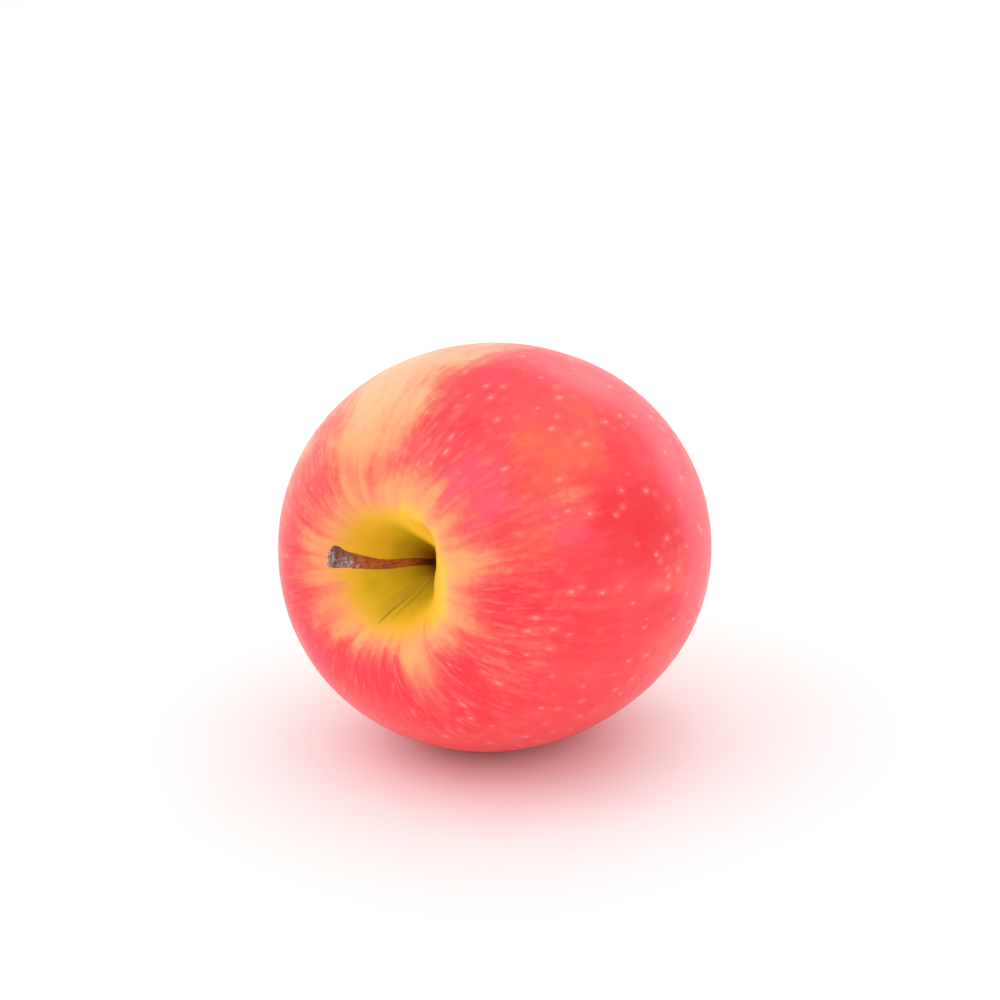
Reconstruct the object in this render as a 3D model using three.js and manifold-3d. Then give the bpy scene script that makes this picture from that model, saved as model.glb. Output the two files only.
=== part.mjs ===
// A ripe apple lying on its side: the fruit, its stalk, and the dried remains of its flower.
// Millimetres, +Z up. Every piece is built upright on the apple's own axis, which runs from the
// eye (the old flower, below) to the stalk (above). The whole apple is then laid down, with its
// stalk end towards -Y, on the small flat spot that its own weight presses into one cheek.

import * as THREE from "three";
import { mergeVertices } from "three/addons/utils/BufferGeometryUtils.js";
import Module from "manifold-3d";

const wasm = await Module();
wasm.setup();

// Fruit body. Heights are measured along the apple's axis from its widest section.
const widestRadius = 37.8;
const shoulderHeight = 33.3;
const shoulderRadius = 16.7;
const baseDepth = 37.4;
const baseRadius = 13.5;
const shoulderReach = 10.1; // how far each end of a cheek's curve holds its direction
const upperCheekReach = 19;
const lowerCheekReach = 20;
const baseReach = 14.9;

// Hollow that the stalk grows from.
const cavityDepth = 17;
const cavityFloorRadius = 5.2;
const cavityLipRadius = 7.8;
const wallRadius = 9; // the wall's steepest part, which the fold and the swelling reshape
const wallBand = 3.4;
const foldWidth = 2.4;
const foldTurn = THREE.MathUtils.degToRad(37);
const foldSpread = 0.35;
const swellingWidth = 0.8;
const swellingTurn = THREE.MathUtils.degToRad(13);
const swellingSpread = 0.5;

// Hollow around the eye, with five blunt knobs on its rim.
const basinDepth = 7;
const basinWallRadius = 7;
const knobHeight = 0.9;
const knobCount = 5;
const eyeCupRadius = 2.5;
const eyeCupDepth = 4;
const eyeCupFloorRadius = 0.9;

// How far the fruit is out of round.
const ovalShare = 0.012;
const ovalTurn = THREE.MathUtils.degToRad(-14.7);
const threeLobeShare = 0.006;
const threeLobeTurn = THREE.MathUtils.degToRad(-13.3);

// How it lies.
const axisLift = THREE.MathUtils.degToRad(6.2); // the stalk end is this much higher
const flatSpotDepth = 0.46;

// Stalk.
const stalkRootRadius = 0.55;
const stalkTaper = 0.74;
const stalkFlare = 0.5;
const stalkEmbed = 3.5; // length held in the flesh below the cavity's floor
const clearance = 0.35; // gap that keeps neighbouring pieces apart

// Dried flower.
const sepalCount = 5;
const sepalRing = 3.5; // distance of the sepals' roots from the axis
const sepalHalfWidth = 1.75;
const sepalHalfThickness = 0.2;
const stamenCount = 10;
const stamenRadius = 0.16;
const antherRadius = 0.27;
const styleCount = 5;
const styleRadius = 0.15;

// Fineness of the meshes.
const meridians = 84;
const cheekRows = 12;
const cavityRows = 9;
const basinRows = 7;

const cavityFloor = shoulderHeight - cavityDepth;
const basinFloor = basinDepth - baseDepth;
const fullTurn = 2 * Math.PI;

// ---- Shared tools ------------------------------------------------------------------------------

// Leaves only positions, joins doubled vertices and drops the faces that collapse at the poles.
function closeBody(geometry) {
  geometry.deleteAttribute("uv");
  geometry.deleteAttribute("normal");
  const merged = mergeVertices(geometry, 1e-4);
  const corners = merged.index.array;
  const kept = [];
  for (let i = 0; i < corners.length; i += 3) {
    const [a, b, c] = [corners[i], corners[i + 1], corners[i + 2]];
    if (a !== b && b !== c && c !== a) {
      kept.push(a, b, c);
    }
  }
  merged.setIndex(kept);
  return merged;
}

// Moves each vertex of a geometry with a function that edits the point in place.
function moveVertices(geometry, move) {
  const positions = geometry.attributes.position;
  const point = new THREE.Vector3();
  for (let i = 0; i < positions.count; i += 1) {
    point.fromBufferAttribute(positions, i);
    move(point);
    positions.setXYZ(i, point.x, point.y, point.z);
  }
  return geometry;
}

// Bends an upright unit cylinder along a curve. sizeAt(along, turn) gives the half width and half
// thickness there, and acrossHint says which way the width points.
function sweepAlong(curve, acrossHint, sizeAt, sides, steps) {
  const rod = new THREE.CylinderGeometry(1, 1, 1, sides, steps);
  const across = new THREE.Vector3();
  const through = new THREE.Vector3();
  moveVertices(rod, (point) => {
    const along = THREE.MathUtils.clamp(point.y + 0.5, 0, 1);
    const turn = Math.atan2(point.z, point.x);
    const tangent = curve.getTangentAt(along);
    across.copy(acrossHint).addScaledVector(tangent, -acrossHint.dot(tangent)).normalize();
    through.crossVectors(across, tangent);
    const size = sizeAt(along, turn);
    const { x, z } = point;
    point.copy(curve.getPointAt(along));
    point.addScaledVector(across, x * size.width);
    point.addScaledVector(through, z * size.thickness);
  });
  return closeBody(rod);
}

function roundSize(radius) {
  return { width: radius, thickness: radius };
}

function radialDirection(turn) {
  return new THREE.Vector3(Math.cos(turn), Math.sin(turn), 0);
}

// A point at a distance from the axis, so far out of the basin's floor towards the open air.
function pointAtEye(turn, radius, outwards) {
  return radialDirection(turn).multiplyScalar(radius).setZ(basinFloor - outwards);
}

function toSolid(geometry) {
  const vertProperties = new Float32Array(geometry.attributes.position.array);
  const triVerts = new Uint32Array(geometry.index.array);
  return new wasm.Manifold(new wasm.Mesh({ numProp: 3, vertProperties, triVerts }));
}

function toGeometry(solid) {
  const mesh = solid.getMesh();
  const geometry = new THREE.BufferGeometry();
  geometry.setAttribute("position", new THREE.BufferAttribute(mesh.vertProperties, 3));
  geometry.setIndex(new THREE.BufferAttribute(mesh.triVerts, 1));
  return geometry;
}

function makePiece(name, geometry, finish) {
  geometry.computeVertexNormals();
  const piece = new THREE.Mesh(geometry, new THREE.MeshStandardMaterial(finish));
  piece.name = name;
  return piece;
}

// ---- Fruit -------------------------------------------------------------------------------------

function bezier(...corners) {
  return new THREE.CubicBezierCurve(...corners.map(([x, y]) => new THREE.Vector2(x, y)));
}

// Half of the fruit's section, from the bottom of the stalk's socket, over the shoulder and the
// cheek, to the bottom of the eye's cup.
function fruitOutline() {
  const socketRadius = stalkRootRadius + clearance;
  const socketFloor = cavityFloor - stalkEmbed - clearance;
  const cavity = bezier(
    [socketRadius, cavityFloor],
    [cavityFloorRadius, cavityFloor],
    [cavityLipRadius, shoulderHeight],
    [shoulderRadius, shoulderHeight],
  );
  const upperCheek = bezier(
    [shoulderRadius, shoulderHeight],
    [shoulderRadius + shoulderReach, shoulderHeight],
    [widestRadius, upperCheekReach],
    [widestRadius, 0],
  );
  const lowerCheek = bezier(
    [widestRadius, 0],
    [widestRadius, -lowerCheekReach],
    [baseRadius + baseReach, -baseDepth],
    [baseRadius, -baseDepth],
  );
  const basin = bezier(
    [baseRadius, -baseDepth],
    [basinWallRadius, -baseDepth],
    [basinWallRadius - 1, basinFloor],
    [eyeCupRadius, basinFloor],
  );
  return [
    new THREE.Vector2(0, socketFloor),
    new THREE.Vector2(socketRadius, socketFloor),
    ...cavity.getSpacedPoints(cavityRows),
    ...upperCheek.getSpacedPoints(cheekRows).slice(1),
    ...lowerCheek.getSpacedPoints(cheekRows).slice(1),
    ...basin.getSpacedPoints(basinRows).slice(1),
    new THREE.Vector2(eyeCupFloorRadius, basinFloor + eyeCupDepth),
    new THREE.Vector2(0, basinFloor + eyeCupDepth),
  ];
}

// A smooth hump: 1 at the centre, falling to nearly 0 two widths away.
function hump(value, centre, width) {
  return Math.exp(-(((value - centre) / width) ** 2));
}

// The angle from one turn to another, the short way round.
function turnBetween(from, to) {
  return Math.atan2(Math.sin(to - from), Math.cos(to - from));
}

// Takes the turned body out of round, opens a fold in the cavity's wall with a slight swelling
// beside it, and raises the knobs.
function unevenFruit(point) {
  const turn = Math.atan2(point.y, point.x);
  const radius = Math.hypot(point.x, point.y);
  const oval = ovalShare * Math.cos(2 * (turn - ovalTurn));
  const lobes = threeLobeShare * Math.cos(3 * (turn - threeLobeTurn));
  const nearAxis = THREE.MathUtils.smoothstep(radius, 2, 8);
  const outOfRound = 1 + nearAxis * (oval + lobes);
  point.x *= outOfRound;
  point.y *= outOfRound;
  if (point.z > 0) {
    const fold = foldWidth * hump(turnBetween(foldTurn, turn), 0, foldSpread);
    const swelling = swellingWidth * hump(turnBetween(swellingTurn, turn), 0, swellingSpread);
    const onWall = hump(radius, wallRadius, wallBand);
    point.addScaledVector(radialDirection(turn), onWall * (fold - swelling));
  } else {
    const onRim = hump(radius, baseRadius + 1, 6);
    point.z -= knobHeight * onRim * Math.cos(knobCount * turn) * 0.5;
  }
}

// Which way is up, seen from the upright apple, once it has been laid down.
const upInApple = new THREE.Vector3(0, Math.cos(axisLift), Math.sin(axisLift));

function lowestPoint(geometry) {
  const lowest = new THREE.Vector3();
  moveVertices(geometry, (point) => {
    if (point.dot(upInApple) < lowest.dot(upInApple)) {
      lowest.copy(point);
    }
  });
  return lowest;
}

// Presses the lowest part of the cheek onto the plane that the apple rests on, and returns the
// middle of the flat spot.
function pressFlat(geometry, floorHeight) {
  const spot = new THREE.Box3();
  moveVertices(geometry, (point) => {
    const below = floorHeight - point.dot(upInApple);
    if (below > 0) {
      point.addScaledVector(upInApple, below);
      spot.expandByPoint(point);
    }
  });
  return spot.getCenter(new THREE.Vector3());
}

function fruitGeometry() {
  const turned = new THREE.LatheGeometry(fruitOutline(), meridians);
  turned.rotateX(Math.PI / 2); // stands the lathe's axis up
  turned.index.array.reverse(); // the outline runs downwards, so its faces are turned outwards
  return closeBody(moveVertices(turned, unevenFruit));
}

// ---- Stalk -------------------------------------------------------------------------------------

// It leaves the socket straight and then leans over one shoulder, bending a little upwards.
const stalkCourse = new THREE.CatmullRomCurve3([
  new THREE.Vector3(0, 0, cavityFloor - stalkEmbed),
  new THREE.Vector3(0, 0, cavityFloor),
  new THREE.Vector3(0.1, 0.45, 21.5),
  new THREE.Vector3(-0.9, 1.15, 26),
  new THREE.Vector3(-2.95, 1.95, 31),
  new THREE.Vector3(-4.75, 2.85, 35),
  new THREE.Vector3(-6.8, 3.75, 38.6),
]);

// Thin at the root, thicker along its length, and flared and uneven where it parted from the twig.
function stalkSize(along, turn) {
  const flare = stalkFlare * THREE.MathUtils.smoothstep(along, 0.6, 1);
  const radius = stalkRootRadius + stalkTaper * along ** 1.35 + flare;
  const ragged = 1 + 0.12 * along ** 6 * Math.cos(3 * turn + 1);
  return { width: radius * ragged, thickness: radius * ragged * 0.94 };
}

function stalkGeometry() {
  return sweepAlong(stalkCourse, new THREE.Vector3(0, 1, 0), stalkSize, 14, 22);
}

// ---- Dried flower in the eye -------------------------------------------------------------------

// Five pointed sepals stand on the basin's floor, lean together and curl back at their tips.
function sepalGeometry(number) {
  const turn = (number / sepalCount) * fullTurn + 0.3;
  const length = 1 + 0.12 * Math.sin(number * 2.4);
  const curl = 0.5 * Math.cos(number * 1.9);
  const course = new THREE.CatmullRomCurve3([
    pointAtEye(turn, sepalRing, clearance + 3 * sepalHalfThickness),
    pointAtEye(turn, sepalRing - 0.2, 2.2 * length),
    pointAtEye(turn, sepalRing - 0.5, 3.6 * length),
    pointAtEye(turn, sepalRing + 0.2, 5.2 * length),
    pointAtEye(turn, sepalRing + 2.1 + curl, 6 * length),
  ]);
  const sideways = radialDirection(turn + Math.PI / 2);
  const size = (along) => {
    const blade = (1 - along ** 2.2) * (0.86 + 0.5 * along);
    return {
      width: sepalHalfWidth * blade + 0.14,
      thickness: sepalHalfThickness * (1 - 0.45 * along),
    };
  };
  return sweepAlong(course, sideways, size, 10, 9);
}

// Thread-like stamens rise from the cup in a ring, each with a shrivelled anther.
function stamenGeometry(number) {
  const turn = ((number + 0.5) / stamenCount) * fullTurn;
  const height = 2.9 + 0.5 * Math.sin(number * 3.1);
  const lean = 1.66 + 0.12 * Math.cos(number * 2.3);
  const course = new THREE.CatmullRomCurve3([
    pointAtEye(turn, 1.3, -1.4),
    pointAtEye(turn, 1.55, 0.4),
    pointAtEye(turn, lean, height),
  ]);
  const anther = antherRadius - stamenRadius;
  const size = (along) => roundSize(stamenRadius + anther * hump(along, 0.93, 0.08));
  return sweepAlong(course, radialDirection(turn + Math.PI / 2), size, 7, 8);
}

// Five styles spread from one short column.
function stylesGeometry() {
  const foot = pointAtEye(0, 0, -3.2);
  const neck = pointAtEye(0, 0, -0.9);
  const columnCourse = new THREE.LineCurve3(foot, neck);
  const column = sweepAlong(columnCourse, radialDirection(0), () => roundSize(0.34), 12, 2);
  let solid = toSolid(column);
  for (let number = 0; number < styleCount; number += 1) {
    const turn = ((number + 0.25) / styleCount) * fullTurn;
    const course = new THREE.CatmullRomCurve3([
      pointAtEye(turn, 0.12, -1.3),
      pointAtEye(turn, 0.4, 0.2),
      pointAtEye(turn, 0.72, 2.1),
    ]);
    const arm = sweepAlong(course, radialDirection(turn + Math.PI / 2), () => roundSize(styleRadius), 7, 6);
    solid = solid.add(toSolid(arm));
  }
  return toGeometry(solid);
}

// ---- The apple ---------------------------------------------------------------------------------

const skinFinish = { color: 0xe2454f, roughness: 0.34, metalness: 0 };
const stalkFinish = { color: 0x8a4a22, roughness: 0.8, metalness: 0 };
const sepalFinish = { color: 0x6f5a3c, roughness: 0.9, metalness: 0 };
const stamenFinish = { color: 0x4a3524, roughness: 0.9, metalness: 0 };

const fruit = fruitGeometry();
const floorHeight = lowestPoint(fruit).dot(upInApple) + flatSpotDepth;
const flatSpot = pressFlat(fruit, floorHeight);

// Turning the upright apple this far about X lays it down and keeps its stalk end a little raised.
// The origin is the middle of the flat spot.
const apple = new THREE.Group();
apple.rotation.x = Math.PI / 2 - axisLift;
const towardsEye = new THREE.Vector3(0, Math.sin(axisLift), -Math.cos(axisLift));
apple.position.set(-flatSpot.x, -flatSpot.dot(towardsEye), -floorHeight);

apple.add(makePiece("fruit", fruit, skinFinish));
apple.add(makePiece("stalk", stalkGeometry(), stalkFinish));
for (let number = 0; number < sepalCount; number += 1) {
  apple.add(makePiece(`sepal_${number + 1}`, sepalGeometry(number), sepalFinish));
}
for (let number = 0; number < stamenCount; number += 1) {
  apple.add(makePiece(`stamen_${number + 1}`, stamenGeometry(number), stamenFinish));
}
apple.add(makePiece("styles", stylesGeometry(), stamenFinish));

const group = new THREE.Group();
group.add(apple);

export default group;
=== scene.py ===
import math

import bpy
from mathutils import Matrix, Vector


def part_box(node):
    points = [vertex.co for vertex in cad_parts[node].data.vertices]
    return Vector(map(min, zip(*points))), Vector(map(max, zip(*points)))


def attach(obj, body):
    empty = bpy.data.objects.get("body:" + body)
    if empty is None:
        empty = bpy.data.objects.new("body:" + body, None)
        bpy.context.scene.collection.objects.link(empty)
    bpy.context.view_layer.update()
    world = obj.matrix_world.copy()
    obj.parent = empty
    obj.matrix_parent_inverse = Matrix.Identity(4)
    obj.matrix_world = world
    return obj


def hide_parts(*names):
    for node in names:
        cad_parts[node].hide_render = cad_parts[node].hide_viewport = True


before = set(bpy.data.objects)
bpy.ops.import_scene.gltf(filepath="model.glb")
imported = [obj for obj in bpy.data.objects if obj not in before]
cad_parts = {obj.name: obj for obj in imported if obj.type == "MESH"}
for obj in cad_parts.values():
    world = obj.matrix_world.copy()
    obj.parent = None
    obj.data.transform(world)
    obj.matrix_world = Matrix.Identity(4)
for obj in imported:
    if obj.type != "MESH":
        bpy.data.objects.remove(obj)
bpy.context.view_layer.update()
fruitLow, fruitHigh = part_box("fruit")
mm = 0.001

apple = {
    "axisLift": math.radians(6.2),  # the stalk end is this much higher than the eye
    "eyeEndLonger": 2.05 * mm,  # the widest section is this far from the middle of the fruit
}
appleCentre = (fruitLow + fruitHigh) / 2
appleCentre.x = 0  # the axis lies in the middle plane
appleCentre.y -= apple["eyeEndLonger"] * math.cos(apple["axisLift"])
appleCentre.z += apple["eyeEndLonger"] * math.sin(apple["axisLift"])

# The apple lies along Y. On its own axes, Z runs to the stalk and Y points nearly straight up.
# layDown takes a place on those axes into the room, and standUp takes it back.
layDown = Matrix.Translation(appleCentre) @ Matrix.Rotation(math.pi / 2 - apple["axisLift"], 4, "X")
turnDown = layDown.to_3x3()
standUp = layDown.inverted()


def newMaterial(name):
    material = bpy.data.materials.new(name)
    material.use_nodes = True
    tree = material.node_tree
    return material, tree, tree.nodes["Principled BSDF"]


def paint(code):
    # a web colour code as the linear colour that a shader takes
    shares = [int(code[i:i + 2], 16) / 255 for i in (0, 2, 4)]
    linear = [s / 12.92 if s <= 0.04045 else ((s + 0.055) / 1.055) ** 2.4 for s in shares]
    return (*linear, 1)


def plug(tree, value, socket):
    if isinstance(value, bpy.types.NodeSocket):
        tree.links.new(value, socket)
    else:
        socket.default_value = value


def maths(tree, operation, *values):
    node = tree.nodes.new("ShaderNodeMath")
    node.operation = operation
    for value, socket in zip(values, node.inputs):
        plug(tree, value, socket)
    return node.outputs[0]


def vectorMaths(tree, operation, *values):
    node = tree.nodes.new("ShaderNodeVectorMath")
    node.operation = operation
    for value, socket in zip(values, node.inputs):
        plug(tree, value, socket)
    return node.outputs["Value" if operation == "DOT_PRODUCT" else "Vector"]


def joinedVector(tree, x, y, z):
    node = tree.nodes.new("ShaderNodeCombineXYZ")
    for value, socket in zip((x, y, z), node.inputs):
        plug(tree, value, socket)
    return node.outputs[0]


def splitVector(tree, vector):
    node = tree.nodes.new("ShaderNodeSeparateXYZ")
    tree.links.new(vector, node.inputs[0])
    return list(node.outputs)


def ease(tree, value, start, end, low=0.0, high=1.0):
    # low up to start, high from end on, and smooth between them
    node = tree.nodes.new("ShaderNodeMapRange")
    node.interpolation_type = "SMOOTHSTEP"
    settings = {"Value": value, "From Min": start, "From Max": end, "To Min": low, "To Max": high}
    for name, setting in settings.items():
        plug(tree, setting, node.inputs[name])
    return node.outputs["Result"]


def fade(tree, value, start, end, full=1.0):
    # full up to start, and none from end on
    return ease(tree, value, start, end, full, 0.0)


def band(tree, value, start, full, high, end):
    # 0, up to 1 between start and full, and back to 0 between high and end
    return maths(tree, "MULTIPLY", ease(tree, value, start, full), fade(tree, value, high, end))


def spread(tree, value, low, high):
    # a noise between about 0.3 and 0.7 pulled out to run from low to high
    return ease(tree, value, 0.3, 0.7, low, high)


def layer(tree, factor, under, over):
    node = tree.nodes.new("ShaderNodeMix")
    node.data_type = "RGBA"
    for socket, value in ((node.inputs[0], factor), (node.inputs[6], under), (node.inputs[7], over)):
        plug(tree, value, socket)
    return node.outputs[2]


def noise(tree, vector, scale, detail=2.0, roughness=0.5, output=0):
    node = tree.nodes.new("ShaderNodeTexNoise")
    plug(tree, vector, node.inputs["Vector"])
    node.inputs["Scale"].default_value = scale
    node.inputs["Detail"].default_value = detail
    node.inputs["Roughness"].default_value = roughness
    return node.outputs[output]


def bumpInto(tree, shader, height, depth):
    node = tree.nodes.new("ShaderNodeBump")
    node.inputs["Distance"].default_value = depth
    plug(tree, height, node.inputs["Height"])
    tree.links.new(node.outputs["Normal"], shader.inputs["Normal"])


def applePlace(tree):
    # the Mapping node stands the lying apple up, so that Z runs along its axis to the stalk
    where = tree.nodes.new("ShaderNodeTexCoord")
    upright = tree.nodes.new("ShaderNodeMapping")
    upright.vector_type = "TEXTURE"
    upright.inputs["Location"].default_value = appleCentre
    upright.inputs["Rotation"].default_value = (math.pi / 2 - apple["axisLift"], 0, 0)
    tree.links.new(where.outputs["Object"], upright.inputs["Vector"])
    return upright.outputs["Vector"]


def drawnOut(tree, place, share, tilt=0.0):
    # a pattern read here is drawn out along the axis, the more the smaller the share
    node = tree.nodes.new("ShaderNodeMapping")
    node.inputs["Rotation"].default_value = (0, tilt, 0)
    node.inputs["Scale"].default_value = (1, 1, share)
    tree.links.new(place, node.inputs["Vector"])
    return node.outputs["Vector"]


camera = {
    "azimuth": math.radians(36.95),
    "elevation": math.radians(19),
    "distance": 493 * mm,
    "lens": 96.15,
    "sensorWidth": 36,
    "nearest": 10 * mm,
    "asideRight": 1.62 * mm,  # the apple sits a little left of and below the middle of the view
    "asideUp": 8.29 * mm,
}


def setCamera():
    turn, rise = camera["azimuth"], camera["elevation"]
    back = Vector((math.sin(turn) * math.cos(rise), -math.cos(turn) * math.cos(rise), math.sin(rise)))
    right = Vector((math.cos(turn), math.sin(turn), 0))
    up = back.cross(right)
    place = appleCentre + back * camera["distance"]
    place += right * camera["asideRight"] + up * camera["asideUp"]
    bpy.ops.object.camera_add(location=place, rotation=(math.pi / 2 - rise, 0, turn))
    made = bpy.context.active_object
    made.data.lens = camera["lens"]
    made.data.sensor_width = camera["sensorWidth"]
    made.data.clip_start = camera["nearest"]
    bpy.context.scene.camera = made


studio = {
    "sky": 1.0,
    "lights": {
        "key": {"place": (-0.35, -0.55, 0.75), "size": 0.8, "power": 1.4},
        "top": {"place": (0.1, 0.25, 0.95), "size": 0.7, "power": 0.6},
        "rimLow": {"place": (0.16, 0.98, 0.14), "size": 0.3, "power": 0.13},
        "rimMiddle": {"place": (0.0, 0.97, 0.3), "size": 0.3, "power": 0.16},
        "rimHigh": {"place": (-0.22, 0.9, 0.48), "size": 0.3, "power": 0.42},
    },
    "floorSize": 12,
    "floorPaint": ("f8f8f8", "fafafa"),
    "floorRoughness": (0.58, 0.64),
}


def aimedLight(name, place, size, power):
    heading = appleCentre - Vector(place)
    turn = heading.to_track_quat("-Z", "Y").to_euler()
    bpy.ops.object.light_add(type="AREA", location=place, rotation=turn)
    lamp = bpy.context.active_object
    lamp.name = name
    lamp.data.shape = "DISK"
    lamp.data.size = size
    lamp.data.energy = power
    lamp.visible_camera = False


def floorMaterial():
    material, tree, shader = newMaterial("paleFloor")
    where = tree.nodes.new("ShaderNodeTexCoord")
    cloudy = noise(tree, where.outputs["Object"], scale=4, detail=3)
    dull, pale = (paint(code) for code in studio["floorPaint"])
    tree.links.new(layer(tree, spread(tree, cloudy, 0, 1), dull, pale), shader.inputs["Base Color"])
    tree.links.new(spread(tree, cloudy, *studio["floorRoughness"]), shader.inputs["Roughness"])
    return material


def setStudio():
    world = bpy.data.worlds.new("paleRoom")
    bpy.context.scene.world = world
    world.use_nodes = True
    background = world.node_tree.nodes["Background"]
    background.inputs["Color"].default_value = (1, 1, 1, 1)
    background.inputs["Strength"].default_value = studio["sky"]
    for name, light in studio["lights"].items():
        aimedLight(name + "Light", **light)
    bpy.ops.mesh.primitive_plane_add(size=studio["floorSize"], location=(0, 0, 0))
    floor = bpy.context.active_object
    floor.name = "floor"
    floor.data.materials.append(floorMaterial())
    bpy.context.scene.view_settings.view_transform = "Standard"


rebuild = {
    "mergeGap": 0.001 * mm,
    "pairedUpTo": math.radians(50),  # two triangles that turn less than this become one four-sided face
    "skewUpTo": math.radians(60),
}


def onlySelect(piece):
    bpy.ops.object.select_all(action="DESELECT")
    piece.select_set(True)
    bpy.context.view_layer.objects.active = piece


def copyOfNode(nodeName, pieceName):
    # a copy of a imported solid, merged, with its triangles paired up again, ready to be refined
    piece = bpy.data.objects.new(pieceName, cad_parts[nodeName].data.copy())
    bpy.context.scene.collection.objects.link(piece)
    piece.data.materials.clear()
    onlySelect(piece)
    bpy.ops.mesh.customdata_custom_splitnormals_clear()
    bpy.ops.object.mode_set(mode="EDIT")
    bpy.ops.mesh.select_all(action="SELECT")
    bpy.ops.mesh.remove_doubles(threshold=rebuild["mergeGap"])
    bpy.ops.mesh.tris_convert_to_quads(face_threshold=rebuild["pairedUpTo"],
                                       shape_threshold=rebuild["skewUpTo"])
    bpy.ops.object.mode_set(mode="OBJECT")
    return piece


def choose(piece, kind, test):
    # leaves the piece in edit mode, with the faces or vertices selected that pass the test
    onlySelect(piece)
    bpy.ops.object.mode_set(mode="EDIT")
    bpy.ops.mesh.select_mode(type=kind)
    bpy.ops.mesh.select_all(action="DESELECT")
    bpy.ops.object.mode_set(mode="OBJECT")
    for element in (piece.data.polygons if kind == "FACE" else piece.data.vertices):
        element.select = test(element)
    bpy.ops.object.mode_set(mode="EDIT")


def pullSoftly(shift, reach):
    # moves what is selected, and what lies within reach of it less and less
    bpy.ops.transform.translate(value=shift, use_proportional_edit=True,
                                proportional_edit_falloff="SMOOTH", proportional_size=reach)
    bpy.ops.object.mode_set(mode="OBJECT")


def applyModifier(piece, name, kind, **settings):
    modifier = piece.modifiers.new(name, kind)
    for setting, value in settings.items():
        setattr(modifier, setting, value)
    onlySelect(piece)
    bpy.ops.object.modifier_apply(modifier=modifier.name)


def refine(piece, levels):
    applyModifier(piece, "smoother", "SUBSURF", levels=levels, render_levels=levels)


def roughen(piece, name, size, strength, group=""):
    # pushes the surface in and out by a cloud pattern of about that size
    clouds = bpy.data.textures.new(name, type="CLOUDS")
    clouds.noise_scale = size
    applyModifier(piece, name, "DISPLACE", texture=clouds, texture_coords="LOCAL",
                  strength=strength, mid_level=0.5, vertex_group=group)


def finishPiece(piece, material, slot, *nodes):
    piece.data.materials.append(material)
    onlySelect(piece)
    bpy.ops.object.shade_smooth()
    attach(piece, "root")
    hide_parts(*nodes)


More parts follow.
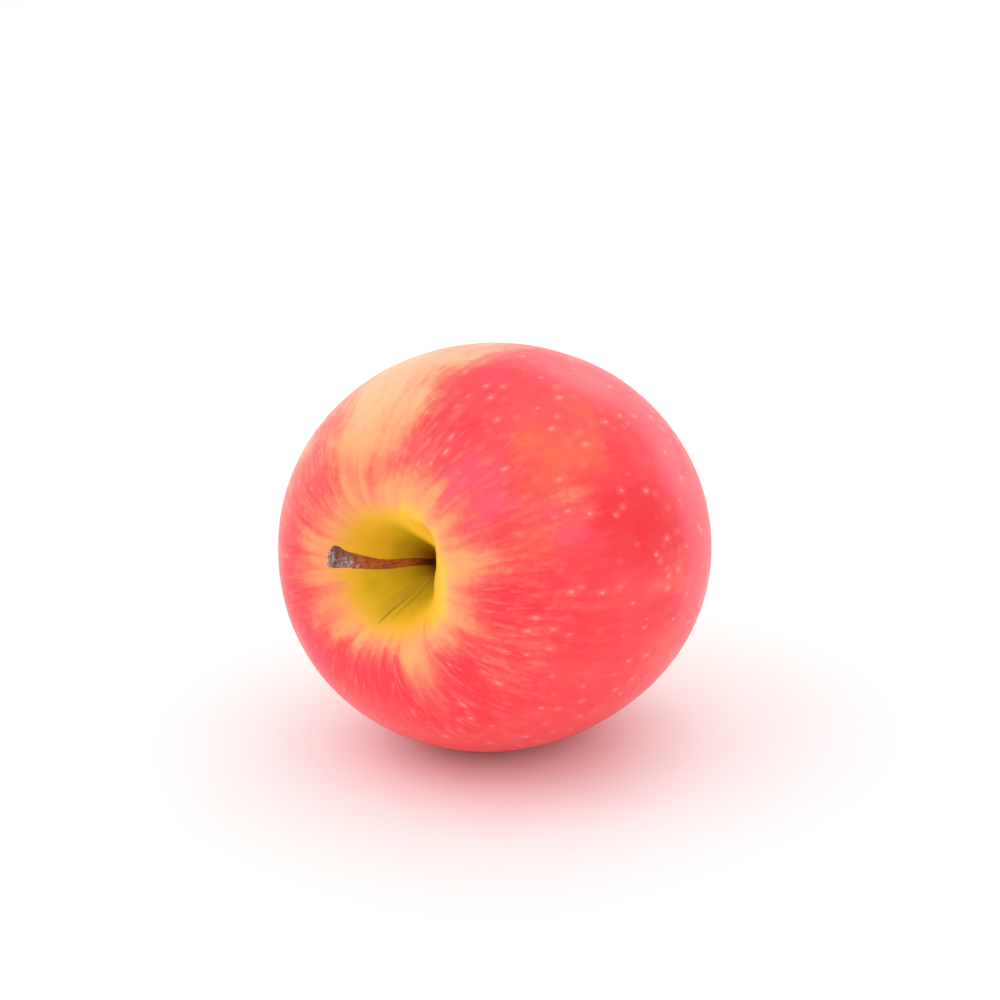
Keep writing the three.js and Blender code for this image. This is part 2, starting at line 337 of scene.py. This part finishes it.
# Angles are in degrees. The turn goes round the axis (0 is +X, 90 is up), and the angle runs from the
# stalk (0) over the cheek (90) to the eye (180). A zone starts and ends along the angle. A patch has
# its turn with where it rises and falls to either side, where it starts and ends along the angle, and
# how much it adds.
skin = {
    "fineLevels": 2,
    "swell": 0.25 * mm,
    "swellSize": 18 * mm,
    "socketReach": 1 * mm,  # flesh this near the axis closes round the root of the stalk
    "socketSqueeze": 0.7,
    "lipCorner": Vector((8.4, 8.2, 31.4)) * mm,  # on the near lip of the stalk's hollow
    "lipShift": Vector((0.42, 0.95, -0.3)) * mm,  # opens it, so that the flesh seems to fold over
    "lipCore": 1 * mm,
    "lipReach": 4.2 * mm,
    "sway": 0.12,  # how widely the sides of the patches wander, as a share of the radius
    "swayScale": 120,
    "wander": (3, 22),  # how widely their ends wander, in degrees, near the stalk and on the cheek
    # how far a pattern is drawn out from stalk to eye (a smaller number is further), scale, detail
    "drawnPatterns": {
        "rays": (0.35, 8, 2),
        "fineStreaks": (0.2, 22, 2),
        "broad": (0.6, 5, 2),
        "flecks": (0.34, 30, 3),
    },
    # scale, detail, roughness
    "evenPatterns": {
        "clouds": (90, 5, 0.6),
        "grain": (900, 2, 0.5),
        "mottle": (55, 4, 0.55),
        "cork": (2200, 5, 0.75),
        "poreSizes": (150, 1, 0.5),
    },
    "zones": {
        "shadedBrownDepths": (5.5, 15),
        "walls": (14.2, 19.2),
        "rim": (17.5, 23),
        "shoulder": (30, 55),
        "eye": (138, 160),
        "wander": (20, 60),
        "fineStreaks": (24, 52),
        "redStart": (16.5, 36),
        "redEnd": (136, 164),
        "noRedWalls": (16.5, 21),
        "flecks": (21, 27, 40, 72),
        "pores": (23, 32),
        "dust": (163, 174),
        "dryHollow": (16, 24),
        "dryEye": (150, 168),
    },
    "groundPaint": {
        "creamDeep": "fdb080",
        "creamPale": "ffc596",
        "shoulder": "fea868",
        "rim": "fbc732",
        "wallDeep": "cfb018",
        "wallPale": "e8ca2a",
        # the bottom of the hollow: partly brown skin, partly painted shade
        "shadedBrownDepths": "935706",
        "eyeDeep": "d8ae44",
        "eyePale": "dcc45c",
    },
    # colour, and the redness at which it starts and is full
    "reds": {
        "peach": ("fe8c66", 0.0, 0.42),
        "coral": ("fd6055", 0.22, 0.6),
        "red": ("fb2f40", 0.42, 0.92),
        "deepRed": ("f21428", 0.88, 1.3),
    },
    "redAtEye": (0.88, 0.12),  # the redness of the cheek and of the eye
    # how much each pattern takes from the redness and adds to it
    "uneven": {
        "streaks": (-0.1, 0.1),
        "broad": (-0.07, 0.07),
        "clouds": (-0.16, 0.14),
        "grain": (-0.04, 0.04),
    },
    "calm": (0.45, 1),  # how uneven the pale places and the red ones are
    "redness": {
        "redBelow": ((-82, -20, -8, 8, 16), (18, 26, 30, 38), 0.34),
        "lowTongue": ((-57, -13, -3, 3, 13), (19, 24, 32, 46), -0.36),
        "redBetween": ((-35, -10, -2, 2, 9), (22, 29, 32, 42), 0.26),
        "sideTongue": ((18, -16, -2, 3, 14), (22, 27, 30, 46), -0.2),
        "sideFringe": ((20, -65, -30, 30, 50), (18, 26, 31, 56), -0.3),
        "upperTongue": ((63, -14, -3, 3, 14), (22, 26, 28, 42), -0.16),
        "lowerLeft": ((250, -25, -10, 10, 25), (20, 27, 31, 39), 0.3),
        "farLeft": ((195, -50, -25, 25, 50), (22, 30, 40, 70), -0.12),
        "paleShoulder": ((76, -16, -3, 6, 14), (20, 28, 36, 56), -0.3),
        "creamCheek": ((88, -7, 4, 12, 44), (20, 38, 85, 125), -0.66),
        "creamStreaks": ((130, -36, -10, 14, 40), (22, 42, 66, 98), -0.48),
        "orangeMottle": ((46, -16, -2, 4, 20), (46, 64, 76, 96), -0.12),
        "deepRed": ((20, -15, -6, 5, 15), (60, 78, 96, 108), 0.55),
        "deepFoot": ((42, -12, -4, 6, 14), (80, 86, 94, 102), 0.25),
        "redHigh": ((64, -20, -8, 8, 18), (50, 60, 76, 92), 0.2),
        "paleLine": ((1, -5, -1, 1, 5), (50, 58, 104, 114), -0.2),
        "paleSpot": ((30, -18, -6, 6, 16), (40, 52, 60, 72), -0.2),
        "farCheek": ((205, -42, -14, 10, 36), (60, 92, 125, 148), -0.55),
    },
    "rimReach": {"nearLip": ((20, -75, -30, 40, 75), (0, 2, 40, 60), -4.8)},  # moves the yellow rim outwards
    "wallReach": {  # moves the edge of the olive walls, outwards where it is below 0
        "lowWall": ((238, -55, -22, 18, 40), (0, 2, 40, 60), -1.7),
        "farWall": ((148, -50, -20, 20, 45), (0, 2, 40, 60), 1.5),
    },
    "mottle": ("ff6670", 0.27),  # colour, and how strong it is at most
    "flecks": ("ffa884", 0.24),
    "orange": "ff7448",
    "orangeness": {
        "orangeCheek": ((46, -18, -4, 6, 22), (44, 62, 76, 98), 0.75),
        "orangeBand": ((20, -14, -4, 4, 16), (38, 48, 54, 64), 0.3),
    },
    "pinkAndSheen": "fd566e",
    "pinknessAndSheen": {
        "pinkShoulder": ((46, -18, -8, 8, 18), (30, 36, 44, 54), 0.75),
        "pinkSpot": ((24, -9, -2, 2, 9), (50, 56, 62, 70), 0.6),
        # a painted sheen: faint pink where light glances off the far lower cheek
        "paintedPinkSheen": ((30, -55, -25, 30, 60), (96, 106, 116, 130), 0.35),
        "pinkFar": ((225, -40, -15, 25, 50), (34, 44, 75, 95), 0.45),
    },
    "poreCells": 13.5,
    "poreStretch": 0.66,
    "poreHalo": ("ff8070", 0.4),
    "poreCore": ("ffb290", 0.5),
    "russet": ("8a6a22", {"lowWall": ((-78, -26, -8, 8, 22), (11, 14, 16, 21), 0.3)}),
    # an ochre scuff, a pale line that is a painted highlight along a ridge, and dark lines along a fold that
    # are partly russet and partly painted shade
    "creaseMarksAndPaintedLight": {
        "ochre": ("c8a050", {"scuff": ((-111, -9, -3, 3, 8), (12, 15, 17.5, 19.5), 0.38)}),
        # painted highlight along the ridge
        "pale": ("dcc540", {"paintedLitRidge": ((-99, -4, -1, 1, 4), (9, 12, 16, 19), 0.5)}),
        # partly russet, partly painted shade in the fold
        "dark": ("6b4a12", {
            "fold": ((-94, -3, -0.8, 0.8, 2.6), (9, 12, 16, 19.5), 0.3),
            "foldEnd": ((-104, -2.6, -0.6, 0.6, 2.6), (14, 17, 18.4, 20), 0.45),
            "hair": ((-120, -2.2, -0.4, 0.4, 2.2), (12, 14, 16, 18), 0.14),
        }),
    },
    "dust": "7d6134",
    "roughness": (0.32, 0.62),  # of the waxy skin, and of the dry skin in the hollow and round the eye
    "shine": (0.33, 0.12),
    "fleshGlow": 0.1,
    "glowColour": (1.0, 0.35, 0.2),
    "glowDepth": 1.2 * mm,
    "bump": 0.04 * mm,
}


def closeSocket(piece):
    # draws the flesh in round the stalk, down in the hollow
    for vertex in piece.data.vertices:
        onAxis = standUp @ vertex.co
        if onAxis.z > 0 and math.hypot(onAxis.x, onAxis.y) < skin["socketReach"]:
            onAxis.x *= skin["socketSqueeze"]
            onAxis.y *= skin["socketSqueeze"]
            vertex.co = layDown @ onAxis


def openLip(piece):
    # draws one corner of the near lip back with the flesh round it
    choose(piece, "VERT", lambda vertex: (standUp @ vertex.co - skin["lipCorner"]).length < skin["lipCore"])
    pullSoftly(turnDown @ skin["lipShift"], skin["lipReach"])


def skinPlaces(tree):
    # the place on the apple, the way round the axis as a pair of length 1, and the angle from the stalk
    place = applePlace(tree)
    x, y, z = splitVector(tree, place)
    radius = maths(tree, "SQRT", maths(tree, "MULTIPLY_ADD", x, x, maths(tree, "MULTIPLY", y, y)))
    safeRadius = maths(tree, "MAXIMUM", radius, 0.05 * mm)
    around = (maths(tree, "DIVIDE", x, safeRadius), maths(tree, "DIVIDE", y, safeRadius))
    return place, around, maths(tree, "ARCTAN2", radius, z)


def stretched(tree, around, fromStalk, share):
    # a pattern read here is drawn out from stalk to eye, the more the smaller the share
    return joinedVector(tree, *around, maths(tree, "MULTIPLY", fromStalk, share))


def wanderingRound(tree, place, around):
    # the way round the axis with a slow sway, so that no patch has a straight side
    sway = skin["sway"]
    drift = noise(tree, place, skin["swayScale"], detail=3, output="Color")
    centred = vectorMaths(tree, "SUBTRACT", joinedVector(tree, *around, 0), (sway / 2, sway / 2, 0))
    return vectorMaths(tree, "MULTIPLY_ADD", drift, (sway, sway, 0), centred)


def patches(tree, across, angle, table):
    # across is the place round the axis as a flat vector, so no patch has a seam near it
    total = 0.0
    for (turn, *sides), ends, amount in table.values():
        turned = tree.nodes.new("ShaderNodeVectorRotate")
        turned.rotation_type = "Z_AXIS"
        turned.inputs["Angle"].default_value = -math.radians(turn)
        tree.links.new(across, turned.inputs["Vector"])
        x, y = splitVector(tree, turned.outputs[0])[:2]
        away = maths(tree, "DEGREES", maths(tree, "ARCTAN2", y, x))
        share = maths(tree, "MULTIPLY", band(tree, away, *sides), band(tree, angle, *ends))
        total = maths(tree, "MULTIPLY_ADD", share, amount, total)
    return total


def skinFields(tree):
    # every place and pattern that the colour and the finish of the skin are mixed from
    place, around, fromStalk = skinPlaces(tree)
    angle = maths(tree, "DEGREES", fromStalk)
    field = {"angle": angle, "across": wanderingRound(tree, place, around)}
    for name, (share, scale, detail) in skin["drawnPatterns"].items():
        field[name] = noise(tree, stretched(tree, around, fromStalk, share), scale, detail)
    for name, (scale, detail, roughness) in skin["evenPatterns"].items():
        field[name] = noise(tree, place, scale, detail, roughness)

    # the streaks are broad near the stalk and fine on the cheek
    onCheek = ease(tree, angle, *skin["zones"]["fineStreaks"])
    finer = maths(tree, "SUBTRACT", field["fineStreaks"], field["rays"])
    field["streaks"] = maths(tree, "ADD", field["rays"], maths(tree, "MULTIPLY", onCheek, finer))

    # the rough angle gives what is read by it an uneven edge
    mixed = maths(tree, "MULTIPLY_ADD", field["streaks"], 0.6, maths(tree, "MULTIPLY", field["broad"], 0.4))
    wander = maths(tree, "SUBTRACT", mixed, 0.5)
    farther = ease(tree, angle, *skin["zones"]["wander"], *skin["wander"])
    field["roughAngle"] = maths(tree, "MULTIPLY_ADD", wander, farther, angle)

    cells = tree.nodes.new("ShaderNodeTexVoronoi")
    cells.inputs["Scale"].default_value = skin["poreCells"]
    tree.links.new(stretched(tree, around, fromStalk, skin["poreStretch"]), cells.inputs["Vector"])
    size = spread(tree, field["poreSizes"], 0.55, 1.15)
    field["fromPore"] = maths(tree, "DIVIDE", cells.outputs["Distance"], size)
    return field


def rednessAt(tree, field):
    # 0 where there is no red, about 1 where it is full
    angle, roughAngle, zones = field["angle"], field["roughAngle"], skin["zones"]
    fromHollow = ease(tree, roughAngle, *zones["redStart"])
    toEye = ease(tree, roughAngle, *zones["redEnd"], *skin["redAtEye"])
    red = maths(tree, "MULTIPLY", fromHollow, toEye)
    red = maths(tree, "ADD", red, patches(tree, field["across"], roughAngle, skin["redness"]))
    uneven = 0.0
    for pattern, ends in skin["uneven"].items():
        uneven = maths(tree, "ADD", uneven, spread(tree, field[pattern], *ends))
    calm = ease(tree, red, -0.1, 0.55, *skin["calm"])
    red = maths(tree, "MULTIPLY_ADD", uneven, calm, red)
    return maths(tree, "MULTIPLY", red, ease(tree, angle, *zones["noRedWalls"]))


def groundColour(tree, field):
    # what shows where there is no red: cream cheek, yellow rim, olive walls, and brown depths that are
    # partly the skin's own colour and partly painted shade
    angle, roughAngle, zones = field["angle"], field["roughAngle"], skin["zones"]
    colours = {name: paint(code) for name, code in skin["groundPaint"].items()}
    yellowAngle = maths(tree, "ADD", roughAngle, patches(tree, field["across"], angle, skin["rimReach"]))
    oliveAngle = maths(tree, "ADD", roughAngle, patches(tree, field["across"], angle, skin["wallReach"]))
    cloudy = spread(tree, field["clouds"], 0, 1)
    cheek = layer(tree, cloudy, colours["creamDeep"], colours["creamPale"])
    colour = layer(tree, fade(tree, roughAngle, *zones["shoulder"]), cheek, colours["shoulder"])
    colour = layer(tree, fade(tree, yellowAngle, *zones["rim"]), colour, colours["rim"])
    walls = layer(tree, cloudy, colours["wallDeep"], colours["wallPale"])
    colour = layer(tree, fade(tree, oliveAngle, *zones["walls"]), colour, walls)
    # darker brown towards the bottom of the hollow, partly the skin's colour and partly painted shade
    colour = layer(tree, fade(tree, angle, *zones["shadedBrownDepths"], full=0.92), colour, colours["shadedBrownDepths"])
    eye = layer(tree, cloudy, colours["eyeDeep"], colours["eyePale"])
    return layer(tree, ease(tree, roughAngle, *zones["eye"]), colour, eye)


def reddened(tree, colour, red):
    for code, start, full in skin["reds"].values():
        colour = layer(tree, ease(tree, red, start, full), colour, paint(code))
    return colour


def tinted(tree, field, colour, red):
    # mottle, orange, pale flecks and pink over the red, where the pink also paints a sheen band of light on
    # the far cheek
    across, roughAngle, streaks = field["across"], field["roughAngle"], field["streaks"]
    code, most = skin["mottle"]
    mottle = maths(tree, "MULTIPLY", spread(tree, field["mottle"], 0, most), ease(tree, red, 0.5, 0.9))
    colour = layer(tree, mottle, colour, paint(code))
    orange = patches(tree, across, roughAngle, skin["orangeness"])
    orange = maths(tree, "MULTIPLY", orange, spread(tree, field["clouds"], 0.0, 1.1))
    orange = maths(tree, "MULTIPLY", orange, spread(tree, streaks, 0.6, 1.1))
    orange = maths(tree, "MULTIPLY", orange, ease(tree, red, 0.2, 0.6))
    colour = layer(tree, orange, colour, paint(skin["orange"]))
    code, most = skin["flecks"]
    flecks = ease(tree, field["flecks"], 0.5, 0.74, 0, most)
    flecks = maths(tree, "MULTIPLY", flecks, band(tree, field["angle"], *skin["zones"]["flecks"]))
    colour = layer(tree, flecks, colour, paint(code))
    # pink over the red, and a faint painted sheen band
    pinkAndSheen = patches(tree, across, roughAngle, skin["pinknessAndSheen"])
    pinkAndSheen = maths(tree, "MULTIPLY", pinkAndSheen, spread(tree, streaks, 0.35, 1.1))
    pinkAndSheen = maths(tree, "MULTIPLY", pinkAndSheen, ease(tree, red, 0.2, 0.7))
    return layer(tree, pinkAndSheen, colour, paint(skin["pinkAndSheen"]))


def withPores(tree, field, colour, halo, core):
    # pale breathing pores, each a small core in a soft halo
    onRed = ease(tree, field["angle"], *skin["zones"]["pores"])
    for share, (code, most) in ((halo, skin["poreHalo"]), (core, skin["poreCore"])):
        pore = maths(tree, "MULTIPLY", maths(tree, "MULTIPLY", share, most), onRed)
        colour = layer(tree, pore, colour, paint(code))
    return colour


def weathered(tree, field, colour):
    # rough corky russet, marks along creases in the hollow of the stalk with painted highlight and shade,
    # and dust round the eye
    across, angle, cork = field["across"], field["angle"], field["cork"]
    code, table = skin["russet"]
    russet = maths(tree, "MULTIPLY", patches(tree, across, angle, table), ease(tree, cork, 0.42, 0.74))
    colour = layer(tree, russet, colour, paint(code))
    # the scuff, the painted highlight on the ridge and the partly painted shade in the fold
    for code, table in skin["creaseMarksAndPaintedLight"].values():
        colour = layer(tree, patches(tree, across, angle, table), colour, paint(code))
    dusty = ease(tree, cork, 0.4, 0.7, 0.3, 0.9)
    dust = maths(tree, "MULTIPLY", ease(tree, angle, *skin["zones"]["dust"]), dusty)
    return layer(tree, dust, colour, paint(skin["dust"]))


def waxOver(tree, shader, field, core):
    # a satin skin, dry and rough in the hollow and round the eye
    angle, zones = field["angle"], skin["zones"]
    dry = maths(tree, "MAXIMUM", fade(tree, angle, *zones["dryHollow"]), ease(tree, angle, *zones["dryEye"]))
    dull = ease(tree, dry, 0, 1, *skin["roughness"])
    dull = maths(tree, "ADD", dull, spread(tree, field["clouds"], -0.03, 0.04))
    tree.links.new(dull, shader.inputs["Roughness"])
    tree.links.new(ease(tree, dry, 0, 1, *skin["shine"]), shader.inputs["Specular IOR Level"])
    shader.inputs["Subsurface Weight"].default_value = skin["fleshGlow"]
    shader.inputs["Subsurface Radius"].default_value = skin["glowColour"]
    shader.inputs["Subsurface Scale"].default_value = skin["glowDepth"]
    relief = maths(tree, "MULTIPLY_ADD", core, 0.6, maths(tree, "MULTIPLY", field["grain"], 0.4))
    relief = maths(tree, "ADD", relief, maths(tree, "MULTIPLY", dry, field["cork"]))
    bumpInto(tree, shader, relief, skin["bump"])


def skinMaterial():
    material, tree, shader = newMaterial("waxySkin")
    field = skinFields(tree)
    red = rednessAt(tree, field)
    core = fade(tree, field["fromPore"], 0.03, 0.19)
    halo = fade(tree, field["fromPore"], 0.05, 0.43)
    colour = reddened(tree, groundColour(tree, field), red)
    colour = tinted(tree, field, colour, red)
    colour = withPores(tree, field, colour, halo, core)
    colour = weathered(tree, field, colour)
    tree.links.new(colour, shader.inputs["Base Color"])
    waxOver(tree, shader, field, core)
    return material


def makeSkin():
    piece = copyOfNode("fruit", "appleSkin")
    closeSocket(piece)
    refine(piece, skin["fineLevels"])
    openLip(piece)
    roughen(piece, "slowSwell", skin["swellSize"], skin["swell"])
    for vertex in piece.data.vertices:
        vertex.co.z = max(vertex.co.z, 0)  # the flat spot stays on the floor
    finishPiece(piece, skinMaterial(), "skin", "fruit")


stalk = {
    "tip": Vector((-6.8, 3.75, 38.6)) * mm,  # middle of the torn end, on the apple's axes
    "tipWay": Vector((-0.48, 0.21, 0.85)),  # the way the end points
    "collar": (-1.8 * mm, -0.6 * mm),  # from the tip: the swollen ring just before it
    "collarRise": 0.3 * mm,
    "waist": (-4.4 * mm, -3.0 * mm),
    "waistDip": -0.12 * mm,
    "barb": 0.8 * mm,  # a small point on top of the collar
    "barbWay": Vector((0.3, 1, 0)),
    "barbBack": 1.2 * mm,  # this far before the tip
    "barbFacing": 0.9,  # how squarely a place on the collar must look that way (1 is straight at it)
    "endFacing": 0.8,
    "endDepth": 0.3 * mm,
    "endTrim": 0.5 * mm,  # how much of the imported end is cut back
    "rimWidth": 0.09 * mm,
    "endInset": 0.32 * mm,
    "endRise": 0.12 * mm,
    "endDome": 0.86,
    "pith": 0.14 * mm,
    "fineLevels": 3,
    "arch": 0.75 * mm,  # lifts the stalk between its root and its middle
    "archHeight": 22 * mm,
    "archCore": 0.4 * mm,
    "archReach": 8 * mm,
    "bark": 0.16 * mm,
    "barkSize": 0.7 * mm,
    "tear": 0.6 * mm,
    "tearSize": 0.7 * mm,
    "tearReach": 2.4 * mm,
    "paint": {
        "barkDark": "7a3410",
        "barkPale": "bf6620",
        "root": "3a1714",
        "aged": "683e37",
        "crust": "c2b2bd",
        "rim": "33201d",
        "faceDark": "7a4b45",
        "facePale": "d8cace",
    },
    "grainLength": 0.16,  # the grain runs along the stalk, and leans as it does
    "grainLean": math.radians(28),
    "darkRoot": (19 * mm, 25 * mm),  # up the apple's axis
    "aged": (-7 * mm, -2 * mm),  # this and the next three are from the tip
    "crust": (-8.5 * mm, -3 * mm),
    "endRim": (-1.5 * mm, -1.1 * mm, -0.85 * mm, -0.5 * mm),
    "endFace": (-0.65 * mm, -0.4 * mm),
    "slope": -0.237,  # takes out the outer half's rise, so that its lower side can be told from its upper
    "lowerSide": (-6.2 * mm, -4.9 * mm),
    "bump": 0.14 * mm,
}


def beyondTip(point):
    # how far a point of the stalk lies past the middle of the torn end
    return (standUp @ point - stalk["tip"]).dot(stalk["tipWay"])


def swellRing(piece, reach, rise):
    choose(piece, "VERT", lambda vertex: reach[0] < beyondTip(vertex.co) < reach[1])
    bpy.ops.transform.shrink_fatten(value=rise)
    bpy.ops.object.mode_set(mode="OBJECT")


def raiseBarb(piece):
    upward = turnDown @ stalk["barbWay"].normalized()
    middle = layDown @ (stalk["tip"] - stalk["tipWay"] * stalk["barbBack"])
    start, end = stalk["collar"]

    def onTop(vertex):
        facing = (vertex.co - middle).normalized().dot(upward)
        return start < beyondTip(vertex.co) < end and facing > stalk["barbFacing"]

    choose(piece, "VERT", onTop)
    bpy.ops.transform.translate(value=upward * stalk["barb"])
    bpy.ops.object.mode_set(mode="OBJECT")


def shapeEnd(piece):
    # a narrower, domed and slightly hollow end, where the stalk parted from the twig
    outward = turnDown @ stalk["tipWay"]

    def atEnd(face):
        return face.normal.dot(outward) > stalk["endFacing"] and beyondTip(face.center) > -stalk["endDepth"]

    choose(piece, "FACE", atEnd)
    bpy.ops.transform.translate(value=outward * -stalk["endTrim"])
    bpy.ops.mesh.inset(thickness=stalk["rimWidth"])
    bpy.ops.mesh.inset(thickness=stalk["endInset"])
    bpy.ops.mesh.extrude_region_move(TRANSFORM_OT_translate={"value": outward * stalk["endRise"]})
    bpy.ops.transform.resize(value=(stalk["endDome"],) * 3)
    bpy.ops.mesh.inset(thickness=stalk["endInset"])
    bpy.ops.mesh.extrude_region_move(TRANSFORM_OT_translate={"value": outward * -stalk["pith"]})
    bpy.ops.object.mode_set(mode="OBJECT")


def archStalk(piece):
    def atArch(vertex):
        return abs((standUp @ vertex.co).z - stalk["archHeight"]) < stalk["archCore"]

    choose(piece, "VERT", atArch)
    pullSoftly(turnDown @ Vector((0, 1, 0)) * stalk["arch"], stalk["archReach"])


def tearEnd(piece):
    # the bark is rough all along, and the last stretch is torn, the more the nearer the tip
    torn = piece.vertex_groups.new(name="tornEnd")
    for vertex in piece.data.vertices:
        share = 1 + beyondTip(vertex.co) / stalk["tearReach"]
        torn.add([vertex.index], min(1, max(0, share)), "REPLACE")
    roughen(piece, "bark", stalk["barkSize"], stalk["bark"])
    roughen(piece, "tear", stalk["tearSize"], stalk["tear"], "tornEnd")


def stalkPlaces(tree):
    # the place on the apple, its height up the axis, how far past the tip it is, and how far up the side
    place = applePlace(tree)
    y, height = splitVector(tree, place)[1:]
    fromTip = vectorMaths(tree, "SUBTRACT", place, stalk["tip"])
    past = vectorMaths(tree, "DOT_PRODUCT", fromTip, stalk["tipWay"])
    return place, height, past, maths(tree, "MULTIPLY_ADD", height, stalk["slope"], y)


def crustOn(tree, place, past, side, patchy):
    # a pale crust, thicker towards the end and on the lower side
    thicker = ease(tree, past, *stalk["crust"], 0.0, 0.15)
    crust = maths(tree, "ADD", noise(tree, place, scale=1500, detail=5, roughness=0.72), thicker)
    crust = ease(tree, crust, 0.58, 0.68)
    crust = maths(tree, "MULTIPLY", crust, ease(tree, patchy, 0.42, 0.56, 0.3, 1))
    crust = maths(tree, "MULTIPLY", crust, ease(tree, side, *stalk["lowerSide"], 1.0, 0.3))
    return maths(tree, "MULTIPLY", crust, 0.75)


def stalkMaterial():
    material, tree, shader = newMaterial("dryStalk")
    place, height, past, side = stalkPlaces(tree)
    alongStalk = drawnOut(tree, place, stalk["grainLength"], stalk["grainLean"])
    grain = noise(tree, alongStalk, scale=2400, detail=3, roughness=0.6)
    flecks = noise(tree, place, scale=2500, detail=5, roughness=0.75)
    patchy = noise(tree, place, scale=620)
    colours = {name: paint(code) for name, code in stalk["paint"].items()}
    body = layer(tree, spread(tree, grain, 0, 1), colours["barkDark"], colours["barkPale"])
    body = layer(tree, fade(tree, height, *stalk["darkRoot"], full=0.9), body, colours["root"])
    aged = maths(tree, "MULTIPLY", ease(tree, past, *stalk["aged"]), ease(tree, patchy, 0.35, 0.6, 0.5, 1))
    body = layer(tree, aged, body, colours["aged"])
    body = layer(tree, crustOn(tree, place, past, side, patchy), body, colours["crust"])
    rim = maths(tree, "MULTIPLY", band(tree, past, *stalk["endRim"]), 0.55)
    body = layer(tree, rim, body, colours["rim"])
    face = layer(tree, spread(tree, flecks, 0, 1), colours["faceDark"], colours["facePale"])
    body = layer(tree, ease(tree, past, *stalk["endFace"], 0.0, 0.9), body, face)
    tree.links.new(body, shader.inputs["Base Color"])
    tree.links.new(spread(tree, grain, 0.62, 0.85), shader.inputs["Roughness"])
    bumpInto(tree, shader, maths(tree, "ADD", grain, flecks), stalk["bump"])
    return material


def makeStalk():
    piece = copyOfNode("stalk", "stalkWood")
    swellRing(piece, stalk["collar"], stalk["collarRise"])
    swellRing(piece, stalk["waist"], stalk["waistDip"])
    raiseBarb(piece)
    shapeEnd(piece)
    refine(piece, stalk["fineLevels"])
    archStalk(piece)
    tearEnd(piece)
    finishPiece(piece, stalkMaterial(), "stalk", "stalk")


flower = {
    "sepals": 5,
    "stamens": 10,
    "sepalLevels": 3,
    "threadLevels": 2,
    "footFacing": 0.7,
    "footDepth": 0.3 * mm,
    "rootDepth": 0.9 * mm,
    "crumple": 0.45 * mm,
    "crumpleSize": 1.3 * mm,
    "fray": 0.16 * mm,
    "fraySize": 0.4 * mm,
    "sepal": {"dark": "4b3a24", "pale": "a38d66", "scale": 1500, "roughness": 0.9},
    "thread": {"dark": "2b1c12", "pale": "6b4d30", "scale": 2600, "roughness": 0.85},
    "fibreLength": 0.25,
    "tips": (-37 * mm, -31 * mm),  # up the apple's axis, whose eye end is below 0
    "tipsPaler": (0.25, -0.1),
    "down": 0.3,  # a soft downy sheen
    "bump": 0.12 * mm,
}


def driedMaterial(name, dark, pale, scale, roughness):
    material, tree, shader = newMaterial(name)
    place = applePlace(tree)
    fibres = noise(tree, drawnOut(tree, place, flower["fibreLength"]), scale, detail=4, roughness=0.65)
    height = splitVector(tree, place)[2]
    towardsTip = ease(tree, height, *flower["tips"], *flower["tipsPaler"])
    share = maths(tree, "ADD", spread(tree, fibres, 0, 1), towardsTip)
    tree.links.new(layer(tree, share, paint(dark), paint(pale)), shader.inputs["Base Color"])
    shader.inputs["Roughness"].default_value = roughness
    shader.inputs["Sheen Weight"].default_value = flower["down"]
    bumpInto(tree, shader, fibres, flower["bump"])
    return material


def rootPiece(piece):
    # draws the foot of a sepal down into the flesh
    inward = turnDown @ Vector((0, 0, 1))
    foot = max((standUp @ vertex.co).z for vertex in piece.data.vertices)

    def atFoot(face):
        atRoot = (standUp @ face.center).z > foot - flower["footDepth"]
        return atRoot and face.normal.dot(inward) > flower["footFacing"]

    choose(piece, "FACE", atFoot)
    bpy.ops.mesh.extrude_region_move(TRANSFORM_OT_translate={"value": inward * flower["rootDepth"]})
    bpy.ops.object.mode_set(mode="OBJECT")


def makeSepals(leaf):
    for number in range(1, flower["sepals"] + 1):
        piece = copyOfNode(f"sepal_{number}", f"driedSepal{number}")
        rootPiece(piece)
        refine(piece, flower["sepalLevels"])
        roughen(piece, f"crumple{number}", flower["crumpleSize"], flower["crumple"])
        roughen(piece, f"fray{number}", flower["fraySize"], flower["fray"])
        finishPiece(piece, leaf, "sepal", f"sepal_{number}")


def makeThread(node, pieceName, texture, thread):
    piece = copyOfNode(node, pieceName)
    refine(piece, flower["threadLevels"])
    roughen(piece, texture, flower["fraySize"], flower["fray"])
    finishPiece(piece, thread, "stamen", node)


def makeFlower():
    leaf = driedMaterial("driedSepal", **flower["sepal"])
    thread = driedMaterial("driedThread", **flower["thread"])
    makeSepals(leaf)
    for number in range(1, flower["stamens"] + 1):
        makeThread(f"stamen_{number}", f"driedStamen{number}", f"withered{number}", thread)
    makeThread("styles", "driedStyles", "witheredStyles", thread)


setCamera()
setStudio()
print("camera and studio are set")
makeSkin()
print("skin is made")
makeStalk()
print("stalk is made")
makeFlower()
print("dried flower is made")
